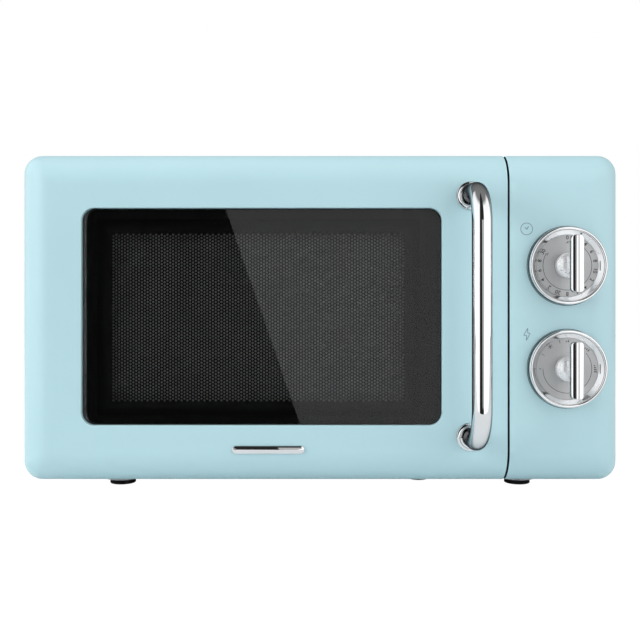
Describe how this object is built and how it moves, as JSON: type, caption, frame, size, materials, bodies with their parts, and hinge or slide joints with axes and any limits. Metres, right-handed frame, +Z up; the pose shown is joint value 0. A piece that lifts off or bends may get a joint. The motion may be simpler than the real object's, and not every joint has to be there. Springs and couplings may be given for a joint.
{
  "type": "microwave oven",
  "caption": "Countertop microwave oven with a side-hinged window door, a tubular bar handle, rotary timer and power dials, and a glass turntable.",
  "frame": {"origin": "on the worktop, under the middle of the whole object", "axes": "+Z up; the door and the dials face -Y; +X towards the dials"},
  "size_m": [0.452, 0.4, 0.2585],
  "materials": {
    "panel_blue": "satin gloss",
    "wrapper_blue": "satin gloss",
    "window_glass": "gloss",
    "screen_black": "satin",
    "film_clear": "gloss",
    "choke_grey": "satin",
    "bright_chrome": "mirror",
    "dial_silver": "fine satin",
    "zinc_sheet": "spangled zinc",
    "cavity_enamel": "speckled semi-gloss",
    "rubber_black": "matt",
    "spacer_black": "matt",
    "winding_copper": "enamelled wire",
    "core_steel": "varnished laminations",
    "bare_aluminium": "mill",
    "white_plastic": "satin",
    "lever_red": "satin",
    "switch_black": "satin",
    "board_green": "satin",
    "table_glass": "gloss",
    "lamp_glass": "gloss",
    "mica_tan": "satin",
    "clockwork_brass": "satin",
    "plain_steel": "turned"
  },
  "bodies": {
    "cabinet": {"outer_wrapper": "wrapper_blue", "base_plate": "zinc_sheet", "back_panel": "zinc_sheet", "face_plate": "cavity_enamel", "cavity_box": "cavity_enamel", "waveguide_cover": "mica_tan", "waveguide": "zinc_sheet", "magnetron_tube": "winding_copper", "magnetron_fins": "bare_aluminium", "magnetron_yoke": "zinc_sheet", "transformer_core": "core_steel", "transformer_windings": "winding_copper", "capacitor": "bare_aluminium", "capacitor_strap": "zinc_sheet", "high_voltage_diode": "switch_black", "fan_shroud": "white_plastic", "fan_motor": "plain_steel", "cavity_lamp": "lamp_glass", "lamp_holder": "white_plastic", "thermal_cutout": "plain_steel", "filter_board": "board_green", "turntable_motor": "plain_steel", "control_panel": "panel_blue", "control_bracket": "zinc_sheet", "timer_unit": "clockwork_brass", "power_switch_unit": "white_plastic", "timer_dial_ring": "bright_chrome", "timer_dial_plate": "dial_silver", "power_dial_ring": "bright_chrome", "power_dial_plate": "dial_silver", "interlock_body": "white_plastic", "microswitches": "switch_black", "hinge_brackets": "zinc_sheet", "foot_pads": "rubber_black", "cabinet_screws": "plain_steel", "cord_gland": "rubber_black", "wall_spacers": "spacer_black"},
    "door": {"door_shell": "panel_blue", "door_glass": "window_glass", "door_frame": "screen_black", "door_screen": "screen_black", "door_film": "film_clear", "choke_cover": "choke_grey", "door_hinge_pins": "plain_steel", "handle_bar": "bright_chrome", "handle_rosettes": "bright_chrome", "door_badge": "bright_chrome"},
    "latch": {"latch_slider": "white_plastic"},
    "lever": {"interlock_lever": "lever_red"},
    "timer": {"timer_knob": "bright_chrome", "timer_shaft": "plain_steel"},
    "power": {"power_knob": "bright_chrome", "power_shaft": "plain_steel"},
    "coupler": {"turntable_coupler": "white_plastic"},
    "plate": {"turntable_glass": "table_glass"},
    "ring": {"roller_ring": "white_plastic"},
    "wheel_a": {"roller_a": "white_plastic"},
    "wheel_b": {"roller_b": "white_plastic"},
    "wheel_c": {"roller_c": "white_plastic"},
    "fan": {"fan_blade": "white_plastic"}
  },
  "joints": [
    {"name": "door_hinge", "type": "hinge", "parent": "cabinet", "child": "door", "pos_m": [-0.2165, -0.1305, 0.136], "axis": [0, 0, 1], "range_deg": [-100, 0]},
    {"name": "latch_slide", "type": "slide", "parent": "door", "child": "latch", "axis": [0, 0, 1], "range_m": [0, 0.004], "stiffness_N_per_m": 300, "springref_m": -0.002},
    {"name": "lever_swing", "type": "hinge", "parent": "cabinet", "child": "lever", "pos_m": [0.1305, -0.094, 0.0802], "axis": [-1, 0, 0], "range_deg": [0, 18.4]},
    {"name": "timer_turn", "type": "hinge", "parent": "cabinet", "child": "timer", "pos_m": [0.1836, -0.151, 0.1734], "axis": [0, 1, 0], "range_deg": [0, 300]},
    {"name": "power_turn", "type": "hinge", "parent": "cabinet", "child": "power", "pos_m": [0.1836, -0.151, 0.0969], "axis": [0, 1, 0], "range_deg": [-90, 90]},
    {"name": "turntable_spin", "type": "hinge", "parent": "cabinet", "child": "coupler", "pos_m": [-0.047, 0.0276, 0.045], "axis": [0, 0, 1], "continuous": true},
    {"name": "turntable_lift", "type": "slide", "parent": "coupler", "child": "plate", "axis": [0, 0, 1], "range_m": [0, 0.02]},
    {"name": "roller_ring_spin", "type": "hinge", "parent": "cabinet", "child": "ring", "pos_m": [-0.047, 0.0276, 0.0453], "axis": [0, 0, 1], "continuous": true},
    {"name": "roller_a_spin", "type": "hinge", "parent": "ring", "child": "wheel_a", "pos_m": [-0.047, 0.1176, 0.0453], "axis": [0, 1, 0], "continuous": true},
    {"name": "roller_b_spin", "type": "hinge", "parent": "ring", "child": "wheel_b", "pos_m": [-0.12494, -0.0174, 0.0453], "axis": [-0.866, -0.5, 0], "continuous": true},
    {"name": "roller_c_spin", "type": "hinge", "parent": "ring", "child": "wheel_c", "pos_m": [0.03094, -0.0174, 0.0453], "axis": [0.866, -0.5, 0], "continuous": true},
    {"name": "fan_spin", "type": "hinge", "parent": "cabinet", "child": "fan", "pos_m": [0.168, 0.166, 0.165], "axis": [0, 1, 0], "continuous": true}
  ],
  "couplings": [
    {"joint": "lever_swing", "follows": "latch_slide", "rad_per_m": 80},
    {"joint": "roller_ring_spin", "follows": "turntable_spin", "ratio": 0.5},
    {"joint": "roller_a_spin", "follows": "turntable_spin", "ratio": -6.4286},
    {"joint": "roller_b_spin", "follows": "turntable_spin", "ratio": -6.4286},
    {"joint": "roller_c_spin", "follows": "turntable_spin", "ratio": -6.4286}
  ]
}
